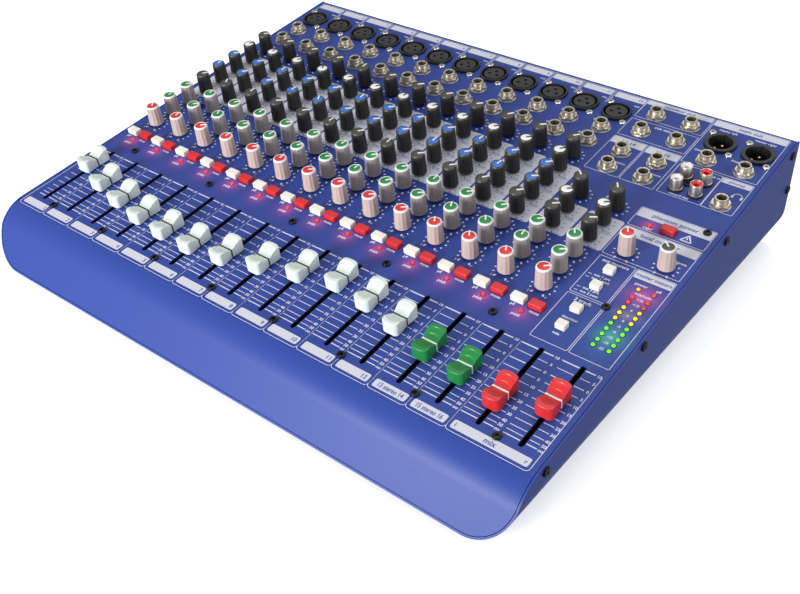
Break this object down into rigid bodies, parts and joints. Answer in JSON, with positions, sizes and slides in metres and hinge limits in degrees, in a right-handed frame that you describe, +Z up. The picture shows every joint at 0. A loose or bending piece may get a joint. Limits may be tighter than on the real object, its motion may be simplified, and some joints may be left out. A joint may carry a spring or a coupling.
{
  "type": "mixing console",
  "caption": "Compact analogue mixing console: sloping painted steel case with rows of knobs, push buttons, sliding faders, lamps and cable sockets.",
  "frame": {"origin": "middle of the underside of the feet, at the middle of the whole footprint", "axes": "+X to the operator's right, +Y to the rear, +Z up; the top panel rises to the rear at 8.1 degrees"},
  "size_m": [0.4342, 0.3702, 0.0933],
  "materials": {
    "blue_paint": "fine textured powder coat",
    "foot_rubber": "satin",
    "black_steel": "satin black oxide",
    "bare_steel": "satin",
    "board": "satin",
    "winding": "satin",
    "black_plastic": "satin",
    "dark_plastic": "satin",
    "contact_metal": "satin",
    "nickel": "polished",
    "lamp_red": "satin",
    "grey_knob": "satin",
    "black_knob": "satin",
    "white_button": "satin",
    "red_button": "satin",
    "white_cap": "satin",
    "green_cap": "satin",
    "red_cap": "satin"
  },
  "bodies": {
    "root": {"aux_and_pan_knobs": "grey_knob", "base_tray": "blue_paint", "board_standoffs": "bare_steel", "channel_board": "board", "control_bodies": "bare_steel", "control_shafts": "bare_steel", "fader_board": "board", "fader_tracks": "bare_steel", "indicator_lamps": "lamp_red", "jack_bodies": "black_plastic", "jack_bushings": "nickel", "jack_nuts": "nickel", "mains_inlet": "black_plastic", "mains_transformer": "winding", "panel_screws": "black_steel", "phono_sockets": "nickel", "power_supply_board": "board", "power_switch_frame": "black_plastic", "rear_panel": "blue_paint", "rubber_feet": "foot_rubber", "side_screws": "black_steel", "socket_board": "board", "switch_bodies": "dark_plastic", "tone_and_gain_knobs": "black_knob", "top_panel": "blue_paint", "xlr_input_inserts": "dark_plastic", "xlr_input_shells": "black_plastic", "xlr_output_pins": "contact_metal", "xlr_output_shells": "black_plastic", "xlr_screws": "nickel"},
    "fader_01": {"fader_01": "white_cap"},
    "fader_02": {"fader_02": "white_cap"},
    "fader_03": {"fader_03": "white_cap"},
    "fader_04": {"fader_04": "white_cap"},
    "fader_05": {"fader_05": "white_cap"},
    "fader_06": {"fader_06": "white_cap"},
    "fader_07": {"fader_07": "white_cap"},
    "fader_08": {"fader_08": "white_cap"},
    "fader_09": {"fader_09": "white_cap"},
    "fader_10": {"fader_10": "white_cap"},
    "fader_11": {"fader_11": "white_cap"},
    "fader_12": {"fader_12": "white_cap"},
    "fader_13": {"fader_13": "green_cap"},
    "fader_14": {"fader_14": "green_cap"},
    "fader_15": {"fader_15": "red_cap"},
    "fader_16": {"fader_16": "red_cap"},
    "pan_knob": {"pan_knob": "grey_knob"},
    "aux_knob": {"aux_knob": "grey_knob"},
    "mid_knob": {"mid_knob": "black_knob"},
    "gain_knob": {"gain_knob": "black_knob"},
    "local_level_knob": {"local_level_knob": "grey_knob"},
    "phones_level_knob": {"phones_level_knob": "grey_knob"},
    "listen_buttons": {"listen_buttons": "white_button"},
    "mute_buttons": {"mute_buttons": "red_button"},
    "phantom_button": {"phantom_button": "red_button"},
    "aux_one_button": {"aux_one_button": "white_button"},
    "aux_two_button": {"aux_two_button": "white_button"},
    "two_track_button": {"two_track_button": "white_button"},
    "monitor_button": {"monitor_button": "white_button"},
    "power_rocker": {"power_rocker": "black_plastic"}
  },
  "joints": [
    {"name": "fader_01_slide", "type": "slide", "parent": "root", "child": "fader_01", "axis": [0, 0.99, 0.1409], "range_m": [-0.044, 0.016]},
    {"name": "fader_02_slide", "type": "slide", "parent": "root", "child": "fader_02", "axis": [0, 0.99, 0.1409], "range_m": [-0.0339, 0.0261]},
    {"name": "fader_03_slide", "type": "slide", "parent": "root", "child": "fader_03", "axis": [0, 0.99, 0.1409], "range_m": [-0.0278, 0.0322]},
    {"name": "fader_04_slide", "type": "slide", "parent": "root", "child": "fader_04", "axis": [0, 0.99, 0.1409], "range_m": [-0.0229, 0.0371]},
    {"name": "fader_05_slide", "type": "slide", "parent": "root", "child": "fader_05", "axis": [0, 0.99, 0.1409], "range_m": [-0.0203, 0.0397]},
    {"name": "fader_06_slide", "type": "slide", "parent": "root", "child": "fader_06", "axis": [0, 0.99, 0.1409], "range_m": [-0.0198, 0.0402]},
    {"name": "fader_07_slide", "type": "slide", "parent": "root", "child": "fader_07", "axis": [0, 0.99, 0.1409], "range_m": [-0.0232, 0.0368]},
    {"name": "fader_08_slide", "type": "slide", "parent": "root", "child": "fader_08", "axis": [0, 0.99, 0.1409], "range_m": [-0.0299, 0.0301]},
    {"name": "fader_09_slide", "type": "slide", "parent": "root", "child": "fader_09", "axis": [0, 0.99, 0.1409], "range_m": [-0.0377, 0.0223]},
    {"name": "fader_10_slide", "type": "slide", "parent": "root", "child": "fader_10", "axis": [0, 0.99, 0.1409], "range_m": [-0.0443, 0.0157]},
    {"name": "fader_11_slide", "type": "slide", "parent": "root", "child": "fader_11", "axis": [0, 0.99, 0.1409], "range_m": [-0.0407, 0.0193]},
    {"name": "fader_12_slide", "type": "slide", "parent": "root", "child": "fader_12", "axis": [0, 0.99, 0.1409], "range_m": [-0.0344, 0.0256]},
    {"name": "fader_13_slide", "type": "slide", "parent": "root", "child": "fader_13", "axis": [0, 0.99, 0.1409], "range_m": [-0.0273, 0.0327]},
    {"name": "fader_14_slide", "type": "slide", "parent": "root", "child": "fader_14", "axis": [0, 0.99, 0.1409], "range_m": [-0.0239, 0.0361]},
    {"name": "fader_15_slide", "type": "slide", "parent": "root", "child": "fader_15", "axis": [0, 0.99, 0.1409], "range_m": [-0.0192, 0.0408]},
    {"name": "fader_16_slide", "type": "slide", "parent": "root", "child": "fader_16", "axis": [0, 0.99, 0.1409], "range_m": [-0.0295, 0.0305]},
    {"name": "pan_knob_turn", "type": "hinge", "parent": "root", "child": "pan_knob", "pos_m": [0.09258, -0.04003, 0.06646], "axis": [0, -0.1409, 0.99], "range_deg": [-182, 118]},
    {"name": "aux_knob_turn", "type": "hinge", "parent": "root", "child": "aux_knob", "pos_m": [0.09258, -0.00498, 0.07145], "axis": [0, -0.1409, 0.99], "range_deg": [-101, 199]},
    {"name": "mid_knob_turn", "type": "hinge", "parent": "root", "child": "mid_knob", "pos_m": [0.09258, 0.03007, 0.07644], "axis": [0, -0.1409, 0.99], "range_deg": [-96, 204]},
    {"name": "gain_knob_turn", "type": "hinge", "parent": "root", "child": "gain_knob", "pos_m": [0.09258, 0.08264, 0.08392], "axis": [0, -0.1409, 0.99], "range_deg": [-108, 192]},
    {"name": "local_level_knob_turn", "type": "hinge", "parent": "root", "child": "local_level_knob", "pos_m": [0.17192, 0.01185, 0.07384], "axis": [0, -0.1409, 0.99], "range_deg": [-179, 121]},
    {"name": "phones_level_knob_turn", "type": "hinge", "parent": "root", "child": "phones_level_knob", "pos_m": [0.19837, 0.01185, 0.07384], "axis": [0, -0.1409, 0.99], "range_deg": [-195, 105]},
    {"name": "listen_buttons_press", "type": "slide", "parent": "root", "child": "listen_buttons", "axis": [0, 0.1409, -0.99], "range_m": [0, 0.0018], "stiffness_N_per_m": 250, "springref_m": -0.001},
    {"name": "mute_buttons_press", "type": "slide", "parent": "root", "child": "mute_buttons", "axis": [0, 0.1409, -0.99], "range_m": [0, 0.0018], "stiffness_N_per_m": 250, "springref_m": -0.001},
    {"name": "phantom_button_press", "type": "slide", "parent": "root", "child": "phantom_button", "axis": [0, 0.1409, -0.99], "range_m": [0, 0.0018], "stiffness_N_per_m": 60, "springref_m": -0.001},
    {"name": "aux_one_button_press", "type": "slide", "parent": "root", "child": "aux_one_button", "axis": [0, 0.1409, -0.99], "range_m": [0, 0.0018], "stiffness_N_per_m": 60, "springref_m": -0.001},
    {"name": "aux_two_button_press", "type": "slide", "parent": "root", "child": "aux_two_button", "axis": [0, 0.1409, -0.99], "range_m": [0, 0.0018], "stiffness_N_per_m": 60, "springref_m": -0.001},
    {"name": "two_track_button_press", "type": "slide", "parent": "root", "child": "two_track_button", "axis": [0, 0.1409, -0.99], "range_m": [0, 0.0018], "stiffness_N_per_m": 60, "springref_m": -0.001},
    {"name": "monitor_button_press", "type": "slide", "parent": "root", "child": "monitor_button", "axis": [0, 0.1409, -0.99], "range_m": [0, 0.0018], "stiffness_N_per_m": 60, "springref_m": -0.001},
    {"name": "power_rocker_tilt", "type": "hinge", "parent": "root", "child": "power_rocker", "pos_m": [-0.11, 0.17969, 0.04925], "axis": [0, -0.1409, 0.99], "range_deg": [0, 14]}
  ]
}
